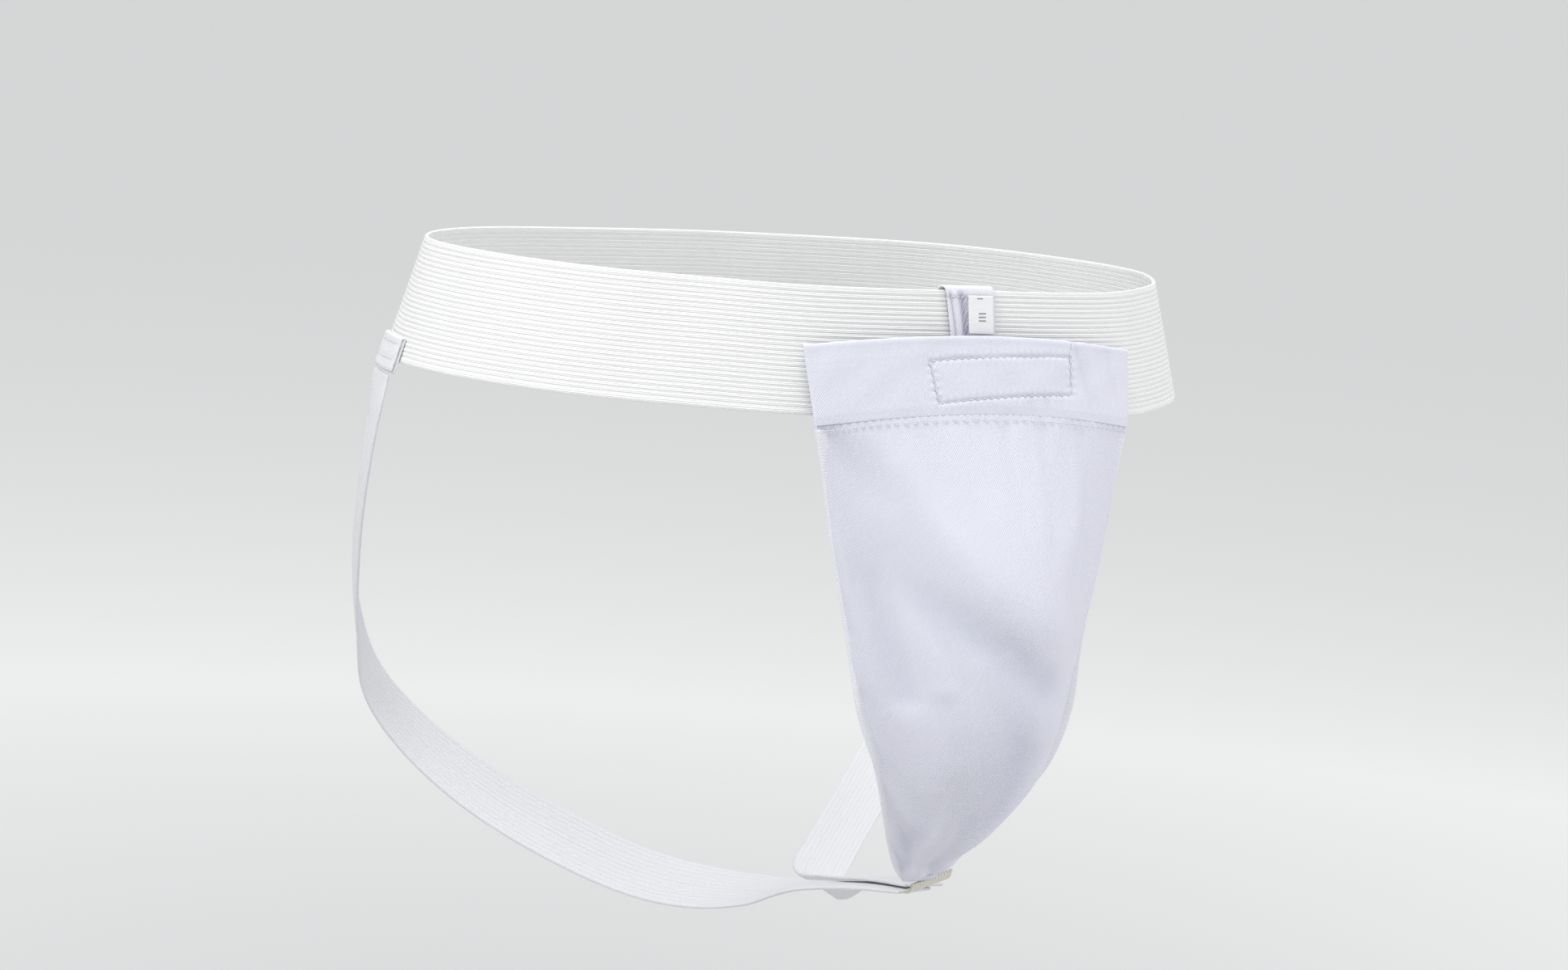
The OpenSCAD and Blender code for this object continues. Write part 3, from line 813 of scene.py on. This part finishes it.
def makeCup():
    look = cupLook
    a = np.arange(look["around"]) * 2 * math.pi / look["around"]
    ex, ez = eggRing(a)
    steps = edgeSteps(look["rings"], look["slope"], look["edge"])
    r = (1 - 0.88 * steps)[:, None]
    z = look["middle"] + r * ez[None, :]
    dome = np.maximum(0, 1 - r * r) ** 0.9
    y = rimY(z) - look["pad"] - (look["depth"] - look["pad"]) * dome
    rib = 0.5 * bell((r - 0.19) * look["slope"], 1.4) + 0.35 * bell((r - 0.93) * look["slope"], 1.2)
    middle = np.stack([r * ex[None, :], y - 0.3 * rib, z], -1) * mm
    thick = look["wall"] * edgeRound(steps, look["slope"], look["edge"], 0.3)[:, None]
    thick = (thick + 0.5 * rib) * np.ones_like(z)
    piece = clothSlab("cupShell", middle, thick * mm, wrap=True)
    for k in range(look["vents"]):
        turn = math.radians(30 + 360 * k / look["vents"])
        place = (20 * mm * math.sin(turn), -0.1, (look["middle"] + 30 * math.cos(turn)) * mm)
        bpy.ops.mesh.primitive_cylinder_add(vertices=32, radius=look["ventRadius"] * mm, depth=0.18,
                                            location=place, rotation=(math.pi / 2, 0, 0))
        cutter = bpy.context.object
        cut = piece.modifiers.new("vent", "BOOLEAN")
        cut.operation = "DIFFERENCE"
        cut.solver = "EXACT"
        cut.object = cutter
        bpy.context.view_layer.objects.active = piece
        bpy.ops.object.modifier_apply(modifier=cut.name)
        bpy.data.objects.remove(cutter, do_unlink=True)
    settle(piece, "cup", "cup_plastic", "cup_shell")
    across = edgeSteps(16, look["padWidth"], look["padEdge"])
    scale = 1.03 - 0.11 * across
    ring = np.stack([scale[:, None] * ex[None, :], 0 * scale[:, None] + rimY(look["middle"] + ez)[None, :]
                     - look["pad"] / 2 + 0.5, look["middle"] + scale[:, None] * ez[None, :]], -1)
    bead = 2.0 * edgeRound(across, look["padWidth"], look["padEdge"])[:, None] * np.ones_like(ex)[None, :]
    pad = clothSlab("cupEdgePad", ring * mm, bead * mm, wrap=True)
    settle(pad, "cup", "pad_rubber", "cup_edge_pad")
    return piece


cupShell = makeCup()
print("cup is made")

# a shrink below nothing gives the cloth a little spare
drapeLook = {"cols": 60, "rows": 76, "frames": 26, "mostMove": 3 * mm, "smooth": 5,
             "cotton": {"quality": 8, "mass": 0.15, "tension_stiffness": 20, "compression_stiffness": 12,
                        "shear_stiffness": 6, "bending_stiffness": 12, "air_damping": 4,
                        "shrink_min": -0.007, "shrink_max": -0.007}}


def drape(grid, obstacle, look):
    # lets cloth with a little spare settle over the obstacle, held along all its edges
    rows, cols = grid.shape[:2]
    i, j = (a.ravel() for a in np.mgrid[0:rows - 1, 0:cols - 1])
    faces = np.stack([i * cols + j, (i + 1) * cols + j, (i + 1) * cols + j + 1, i * cols + j + 1], 1)
    mesh = bpy.data.meshes.new("drape")
    mesh.from_pydata(grid.reshape(-1, 3).tolist(), [], faces.tolist())
    cloth = bpy.data.objects.new("drape", mesh)
    scene.collection.objects.link(cloth)
    held = np.ones((rows, cols), bool)
    held[1:-1, 1:-1] = False
    group = cloth.vertex_groups.new(name="held")
    group.add(np.flatnonzero(held.ravel()).tolist(), 1.0, "REPLACE")
    touch = obstacle.modifiers.new("touch", "COLLISION")
    obstacle.collision.thickness_outer = 0.8 * mm
    modifier = cloth.modifiers.new("cloth", "CLOTH")
    modifier.settings.vertex_group_mass = "held"
    for setting, value in look["cotton"].items():
        setattr(modifier.settings, setting, value)
    modifier.collision_settings.distance_min = 0.8 * mm
    modifier.collision_settings.use_self_collision = False
    for step in range(1, look["frames"] + 1):
        scene.frame_set(step)
    settled = cloth.evaluated_get(bpy.context.evaluated_depsgraph_get())
    points = np.array([v.co for v in settled.data.vertices]).reshape(rows, cols, 3)
    bpy.data.objects.remove(cloth, do_unlink=True)
    obstacle.modifiers.remove(touch)
    scene.frame_set(1)
    move = points - grid
    for _ in range(look["smooth"]):
        inner = (move[:-2, 1:-1] + move[2:, 1:-1] + move[1:-1, :-2] + move[1:-1, 2:]) / 4
        move[1:-1, 1:-1] = 0.4 * move[1:-1, 1:-1] + 0.6 * inner
    far = np.linalg.norm(move, axis=-1, keepdims=True)
    return grid + move * np.minimum(1, look["mostMove"] / np.maximum(far, 1e-9))


def finer(grid, rowsAt, colsAt):
    # the grid's smooth surface at finer steps, given in the grid's own row and column numbers
    down = np.array([openCurve(grid, t) for t in rowsAt])
    turned = down.transpose(1, 0, 2)
    return np.array([openCurve(turned, t) for t in colsAt]).transpose(1, 0, 2)


frontLook = {"cols": 170, "rows": 210, "width": 120, "length": 190, "edge": 0.8,
             # how sharply the cloth falls away to the wearer's left edge, from the hem to the tip
             "leftCurve": ((0.3, 0.47, 0.56, 0.67, 0.78), (0.8, 0.95, 1.0, 1.15, 1.4)),
             # fold lines in millimetres: ((x, z), (x, z)), width, height
             "folds": [(((6, -46), (5, -92)), 3.6, -0.5), (((13, -46), (12, -86)), 4.0, 0.35),
                       (((25, -46), (21, -100)), 3.8, -0.62), (((33, -46), (31, -92)), 4.0, 0.4),
                       (((45, -48), (44.5, -96)), 3.4, -0.5), (((53, -49), (54, -86)), 3.8, 0.4),
                       (((-71, -53), (-48, -80)), 6.5, -0.9), (((-60, -52), (-34, -74)), 7, 0.5),
                       (((20, -128), (-52, -84)), 13, 1.4), (((16, -146), (-52, -104)), 10.5, -2.5),
                       (((-30, -148), (-52, -96)), 4.5, 1.2), (((-40, -152), (-50, -108)), 5, -1.3),
                       (((4, -172), (-8, -142)), 12, -1.8), (((-25, -186), (-26, -150)), 7.5, 1.4),
                       (((-2, -198), (6, -170)), 9, -1.3), (((-11, -229), (-20, -193)), 3.2, 2.1),
                       (((-16, -226), (-23, -198)), 3.6, -1.8), (((-5, -227), (-12, -198)), 4.4, -1.4)]}


def makePouchFront():
    look = frontLook
    coarse, near = drapeLook, pouchLook["frontInset"]
    cols, rows = np.linspace(-1, 1, coarse["cols"]), np.linspace(0, 1, coarse["rows"])
    grid = []
    for v in rows:
        low = min(1, max(0, (v - 0.22) / 0.25))  # how much of the bound edge shows on the wearer's left
        grid.append(pouchRow(pouchAt(v), np.sin(cols * math.pi / 2), near,
                             near + (pouchLook["inset"] - near) * low, np.interp(v, *look["leftCurve"])))
    grid = np.array(grid) * mm
    grid = drape(grid, cupShell, drapeLook)
    width, length, edge = look["width"], look["length"], look["edge"]
    across, down = edgeSteps(look["cols"], width, edge), edgeSteps(look["rows"], length, edge)
    middle = finer(grid, down * (coarse["rows"] - 1), across * (coarse["cols"] - 1))
    x, z = middle[..., 0] / mm, middle[..., 2] / mm
    inside = np.minimum(1, np.minimum(across, 1 - across) * 14)[None, :]
    inside = inside * (np.minimum(1, (1 - down) * 16) * np.minimum(1, down * 30))[:, None]
    relief = foldRelief(x, z, look["folds"]) * inside
    pucker = 0.16 * np.cos(x * 2 * math.pi / stitchPitch) * bell(down * length, 2.5)[:, None]
    middle = middle + gridNormals(middle) * (relief + pucker)[..., None] * mm
    middle = tipLeans(middle / mm) * mm
    ends = np.where(down < 0.5, edgeRound(down, length, 0.4, 0.85), edgeRound(down, length, edge))
    thick = pouchLook["cloth"] * np.outer(ends, edgeRound(across, width, edge))
    # painted shade in the fold valleys and along the seam under the hem
    dark = 0.4 * np.maximum(0, -relief / 1.2) + 0.3 * bell(down * length, 0.6)[:, None]
    piece = clothSlab("pouchFront", middle, thick * mm, creaseShade=np.clip(dark, 0, 1), steps=(down, across))
    settle(piece, "pouch", "pouch_cotton", "pouch_front")
    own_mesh(piece)


makePouchFront()


backLook = {"cols": 70, "rows": 130, "width": 120, "length": 206, "edge": 0.7}


def makePouchBack():
    width, length, edge = backLook["width"], backLook["length"], backLook["edge"]
    below = [(s[0], s[0], s[2] - pouchLook["inset"], s[3] - 0.9, 0 if k else 1.5)
             for k, s in enumerate(sections[1:])]
    back = np.vstack([backTop, below])
    across, down = edgeSteps(backLook["cols"], width, edge), edgeSteps(backLook["rows"], length, edge)
    middle = np.array([pouchRow(openCurve(back, s * (len(back) - 1)), 2 * across - 1) for s in down])
    x, z = middle[..., 0], middle[..., 2]
    soft = 0.25 * np.sin(x / 9 + z / 23) * np.sin(z / 17 + 1)
    soft = soft * np.minimum(1, np.minimum(down, 1 - down) * 8)[:, None]
    middle = tipLeans(middle + gridNormals(middle) * soft[..., None] * (z < -60)[..., None])
    thick = pouchLook["cloth"] * edgesRound(down, length, across, width, edge)
    piece = clothSlab("pouchBack", middle * mm, thick * mm, steps=(down, across))
    settle(piece, "pouch", "pouch_cotton", "pouch_back")


makePouchBack()

bindingLook = {"inner": 7.2, "thickness": 2.8, "thin": 1.7, "rows": 150, "length": 200, "edge": 1.4,
               "stitchAt": 0.24}


def makeBinding(side):
    look = bindingLook
    tail = "Left" if side > 0 else "Right"
    across = edgeSteps(16, look["inner"], look["edge"])
    down = edgeSteps(look["rows"], look["length"], 1.2)
    rows = []
    for s in down:
        edgeZ, _, halfWidth, depth, _ = pouchAt(0.008 + 0.992 * s)
        rows.append(straightRow(halfWidth - look["inner"] * (1 - across), -depth, edgeZ))
    full = look["thin"] + (look["thickness"] - look["thin"]) * np.minimum(1, across * 1.9)
    sewn = bell((across - look["stitchAt"]) * look["inner"], 0.6)
    wobble = 0.1 * np.sin(down * look["length"] * 2 * math.pi / stitchPitch)[:, None] * sewn[None, :]
    thick = (full - 0.5 * sewn)[None, :] * edgeRound(down, look["length"], 1.2)[:, None]
    thick = thick * edgeRound(across, look["inner"], look["edge"], 0.3)[None, :] + wobble
    middle = tipLeans(mirror(np.array(rows), -side))[:, ::side]  # drawn on the left, mirrored on the right
    thick, sewn = thick[:, ::side], sewn[::side]
    # painted shade along the stitched groove
    piece = clothSlab("edgeBinding" + tail, middle * mm, thick * mm, creaseShade=0.5 * sewn[None, :] + 0 * thick,
                      steps=(down, across))
    settle(piece, "pouch", "binding_cotton", "edge_binding_" + tail.lower())
    seamAt = look["stitchAt"] if side > 0 else 1 - look["stitchAt"]
    row = [spot("edgeBinding" + tail, k / 60, seamAt, -0.02 * mm) for k in range(61)]
    settle(threadPieces("bindingStitches" + tail, stitchLine(row)), "pouch", "thread")


for side in (-1, 1):
    makeBinding(side)
print("pouch is made")


# top hem: folded double, with the hook strip's stitched box showing through

hemLook = {"thickness": 1.9, "cols": 220, "rows": 60, "height": 30, "width": 153, "edge": 0.9,
           "boxHalf": 75.4,  # half the hem's width at the stitched box
           # the cloth bends between these two levels when the flap is opened
           "seamFrom": (0, -0.118, -0.052), "seamTo": (0, -0.118, -0.0445),
           # corners of the stitched box: x in millimetres and how far down the hem
           "box": [(-26, 0.31), (42, 0.21), (42, 0.69), (-23, 0.85)],
           "folds": [(((45, -19), (53, -50)), 2.2, -0.75), (((50, -19), (58, -48)), 2.6, 0.6),
                     (((-64, -22), (-70, -50)), 5, 0.35), (((20, -42), (21, -50)), 2.0, -0.3),
                     (((28, -41), (29, -50)), 2.0, -0.35), (((36, -40), (37, -50)), 2.0, -0.35),
                     (((62, -20), (66, -46)), 3.0, -0.4), (((-31, -24), (-40, -44)), 4.5, 0.3)]}


def hemRow(v, u):
    return pouchRow(hemTop + (sections[0] - hemTop) * v, u)


def makeHem():
    look = hemLook
    width, tall, edge = look["width"], look["height"], look["edge"]
    across, down = edgeSteps(look["cols"], width, edge), edgeSteps(look["rows"], tall, edge)
    middle = np.array([hemRow(1.003 * v, 2 * across - 1) for v in down])
    x, z = middle[..., 0], middle[..., 2]
    height = down[:, None] * tall + 0 * x
    box = [(bx, bv * tall) for bx, bv in look["box"]]
    groove, pucker = np.zeros_like(x), np.zeros_like(x)
    for a, b in zip(box, box[1:] + box[:1]):
        distance, along = nearLine(x, height, (a, b))
        length = math.dist(a, b)
        groove = np.maximum(groove, bell(distance, 0.75))
        stitches = np.cos(along * length * 2 * math.pi / stitchPitch)
        pucker += bell(distance - 1.3, 1.2) * stitches * (abs(along - 0.5) < 0.5)
    inBox = (x > -25) & (x < 42) & (height > 7.5) & (height < 22.5)
    puff = 0.22 * np.sin(x / 5.1 + 1) * np.sin(height / 3.7) * inBox
    waves = 0.25 * np.sin(x / 13 + height / 19) + 0.12 * np.sin(x / 4.3 + height / 3.1 + 2)
    folds = foldRelief(x, z, look["folds"])
    relief = folds + 0.16 * pucker + puff + waves * np.sin(math.pi * down)[:, None] - 0.42 * groove
    relief *= np.minimum(1, np.minimum(across, 1 - across) * 30)[None, :]
    seam = np.minimum(1, (1 - down) * 9)[:, None]
    roll = 0.3 * bell(down * tall - 1.6, 1.2)[:, None]
    thick = look["thickness"] * (0.58 + 0.42 * seam) + roll
    ends = np.where(down < 0.5, edgeRound(down, tall, edge), edgeRound(down, tall, 0.3, 0.9))
    thick = thick * np.outer(ends, edgeRound(across, width, edge)) - 0.3 * groove
    middle = middle + gridNormals(middle) * relief[..., None]
    # painted shade in the stitched box's groove and in the fold valleys
    dark = np.clip(0.55 * groove + 0.5 * np.maximum(0, -folds), 0, 1)
    piece = clothSlab("topHem", middle * mm, np.maximum(0.4, thick) * mm, creaseShade=dark, steps=(down, across))
    settle(piece, None, "hem_cotton", "top_hem")
    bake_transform(piece)
    runs = []
    for a, b in zip(look["box"], look["box"][1:] + look["box"][:1]):
        length = math.hypot(b[0] - a[0], (b[1] - a[1]) * tall)
        count = max(2, round(length / stitchPitch))
        row = []
        for k in range(count + 1):
            px, pv = (a[n] + (b[n] - a[n]) * k / count for n in (0, 1))
            row.append(spot("topHem", pv, (px / look["boxHalf"] + 1) / 2, 0.1 * mm))
        runs += stitchLine(row, 0.66)
    loose = ((0.03, 42.6), (0.12, 42.2), (0.21, 42))  # a loose end: how far down the hem, and x
    runs += stitchLine([spot("topHem", v, (x0 / 76 + 1) / 2, 0.25 * mm) for v, x0 in loose], 1.0)
    settle(threadPieces("closureStitches", runs), "closure_flap", "thread", "closure_stitches")


makeHem()


def makeSeams():
    # the seam under the hem, sewn through the pouch front, and the one that holds the crotch elastic
    row = [spot("pouchFront", 0.012, 0.02 + 0.96 * k / 46, 0.62 * mm) for k in range(47)]
    settle(threadPieces("hemStitches", stitchLine(row, 0.6)), "pouch", "thread", "hem_stitches")
    row = [spot("pouchFront", 0.955, 0.24 + 0.52 * k / 5, 0.1 * mm) for k in range(6)]
    settle(threadPieces("crotchStitches", stitchLine(row)), "pouch", "thread", "crotch_stitches")


makeSeams()

closureLook = {"middleX": 8, "width": 68, "height": 15.6, "thickness": 0.5, "edge": 0.4,
               "hookRows": 9, "hookCols": 40, "loops": 620}


def makeClosure():
    look = closureLook
    width, tall, edge = look["width"], look["height"], look["edge"]
    across, down = edgeSteps(50, width, edge), edgeSteps(22, tall, edge)
    x = look["middleX"] + (2 * across - 1) * width / 2
    hooks = np.array([hemRow(0.25 + 0.5 * v, x / hemLook["boxHalf"]) for v in down])
    middle = hooks - gridNormals(hooks) * 1.28
    thick = look["thickness"] * edgesRound(down, tall, across, width, edge)
    piece = clothSlab("hookStrip", middle[:, ::-1] * mm, thick[:, ::-1] * mm, steps=(down, across))
    settle(piece, "closure_flap", "hook_tape", "hook_strip")
    runs = []
    for i in range(look["hookRows"]):
        for j in range(look["hookCols"]):
            foot, n = spot("hookStrip", (i + 1) / (look["hookRows"] + 1), (j + 1) / (look["hookCols"] + 1))
            lean = np.array([0, 0, 0.3 * mm * (-1) ** (i + j)])
            runs.append((foot - n * 0.05 * mm, foot + n * 0.28 * mm + lean, np.array([1.0, 0, 0])))
    hookSize = {"diameter": 0.24 * mm, "sides": 5, "rise": 0.4}
    settle(threadPieces("hookRows", runs, hookSize), "closure_flap", "hook_tape")
    behind = [openCurve(backTop, 0.12 + 0.56 * v) for v in down]
    loops = np.array([pouchRow(s, x / s[2]) for s in behind])
    middle = loops + gridNormals(loops) * 1.0
    piece = clothSlab("loopStrip", middle * mm, thick * mm, steps=(down, across))
    settle(piece, "pouch", "loop_tape", "loop_strip")
    pick = random.Random(5)
    runs = []
    for _ in range(look["loops"]):
        foot, n = spot("loopStrip", pick.uniform(0.04, 0.96), pick.uniform(0.01, 0.99), 0.06 * mm)
        turn = pick.uniform(0, math.pi)
        way = np.array([math.cos(turn), 0, math.sin(turn)]) * pick.uniform(0.5, 1.0) * mm
        runs.append((foot - way, foot + way, n))
    loopSize = {"diameter": 0.16 * mm, "sides": 4, "rise": 1.3}
    settle(threadPieces("loopPile", runs, loopSize), "pouch", "loop_tape")


makeClosure()
print("hem and closure are made")


# hanger tab over the band's top edge, with the size label sewn in

tabLook = {"line": [(-107.1, -8), (-106.4, -4), (-106.2, -0.6), (-106.8, 0.9), (-108, 1.5), (-109.3, 1),
                    (-110, -0.6), (-110.7, -4), (-111.6, -9), (-112.5, -14), (-113.6, -20), (-114, -22.4)],
           "thickness": 0.8, "stitchDown": 0.6, "creaseShade": (0.29, 0.36),
           "width": 22, "length": 36, "edge": 0.5}


def makeTab():
    look = tabLook
    width, length, edge = look["width"], look["length"], look["edge"]
    line = np.array(look["line"], float)
    across, down = edgeSteps(60, width, edge), edgeSteps(90, length, edge)
    middle = []
    for s in down:
        x = (8.4 + 0.9 * s) - (25 - 4.5 * s) * (1 - across)
        middle.append(straightRow(x, *openCurve(line, s * (len(line) - 1))))
    middle = np.array(middle)
    outside = np.clip((down - 0.5) / 0.08, 0, 1)[:, None]
    start = look["creaseShade"][0] + (look["creaseShade"][1] - look["creaseShade"][0]) * (down[:, None] - 0.5) * 2
    valley, ridge, second = (bell((across[None, :] - start + shift) * width, wide) * outside
                             for shift, wide in ((0, 2.0), (0.13, 1.3), (0.23, 0.7)))
    twist = 0.14 * np.sin((across[None, :] * width * 1.4 + down[:, None] * length) * 2.2) * valley
    relief = 0.4 * ridge - 0.35 * valley - 0.25 * second + twist
    sewn = bell((down[:, None] - look["stitchDown"]) * length, 0.8) + 0 * across[None, :]
    middle = middle + gridNormals(middle) * (relief - 0.12 * sewn)[..., None]
    thick = look["thickness"] * edgesRound(down, length, across, width, edge)
    # painted shade in the tab's crease, its second groove and along its stitch line
    dark = np.clip(0.9 * valley + 0.8 * second + 0.45 * sewn, 0, 1)
    piece = clothSlab("hangerTab", middle * mm, thick * mm, creaseShade=dark, steps=(down, across))
    settle(piece, "waistband", "tab_tape", "hanger_tab")
    row = [spot("hangerTab", look["stitchDown"], 0.06 + 0.88 * k / 8, 0.08 * mm) for k in range(9)]
    settle(threadPieces("tabStitches", stitchLine(row, 0.6)), "waistband", "thread", "tab_stitches")


makeTab()

labelLook = {"x": 1.6, "y": -111.9, "top": -1.6, "width": 11.6, "length": 15, "lean": 9, "leaf": 0.13,
             "edge": 0.3}


def makeLabel():
    look = labelLook
    length = look["length"]
    bend = np.linspace(0, math.pi, 7)[1:-1]
    straight = np.linspace(0, length - 0.3, 26)
    far = np.concatenate([straight, length - 0.3 + 0.12 * np.sin(bend), straight[::-1]])
    off = np.concatenate([0.27 + 0 * straight, 0.165 + 0.105 * np.cos(bend), 0.06 + 0 * straight])
    far, off = far[::-1], 0.4 - off[::-1]
    across = edgeSteps(24, look["width"], look["edge"])
    x = look["x"] + (across - 0.5) * look["width"]
    curl = 0.35 * (2 * across - 1) ** 2
    lean = math.radians(look["lean"])
    rows = []
    for f, o in zip(far, off):
        away = o + curl * (f / length) ** 2
        rows.append(np.stack([x, look["y"] + 0.4 - away * math.cos(lean) - f * math.sin(lean),
                              look["top"] - f * math.cos(lean) + away * math.sin(lean)], -1))
    middle = np.array(rows)[::-1]
    thick = look["leaf"] * edgeRound(across, look["width"], look["edge"], 0.5)[None, :]
    thick = thick * np.ones((len(far), 1))
    piece = clothSlab("sizeLabel", middle * mm, thick * mm)
    settle(piece, "label", "label_satin", "size_label")


makeLabel()

crotchLook = {"line": [(-114.4, -231.4), (-113.8, -233.6), (-112, -235.2), (-109, -235.9)],
              "halfWidth": 9.5, "ribs": 14, "depth": 0.5, "width": 24, "length": 8, "edge": 0.5}


def makeCrotch():
    look = crotchLook
    line = np.array(look["line"], float)
    width, length, edge = look["width"], look["length"], look["edge"]
    across, down = edgeSteps(look["ribs"] * 8 + 1, width, edge), edgeSteps(20, length, edge)
    x = (2 * across - 1) * look["halfWidth"] + 0.5
    middle = tipLeans(np.array([straightRow(x, *openCurve(line, s * (len(line) - 1))) for s in down]))
    ribs = 1 - np.abs(np.sin(math.pi * across * look["ribs"])) ** 0.8
    thick = 1.5 * edgesRound(down, length, across, width, edge) - look["depth"] * ribs[None, :]
    # painted shade between the ribs
    piece = clothSlab("crotchElastic", middle * mm, np.maximum(0.2, thick) * mm,
                      creaseShade=np.broadcast_to(0.9 * ribs, thick.shape))
    settle(piece, "pouch", "crotch_rib", "crotch_elastic")


makeCrotch()
for side in (-1, 1):
    makeStrap(side)
print("tab, label, crotch elastic and leg straps are made")
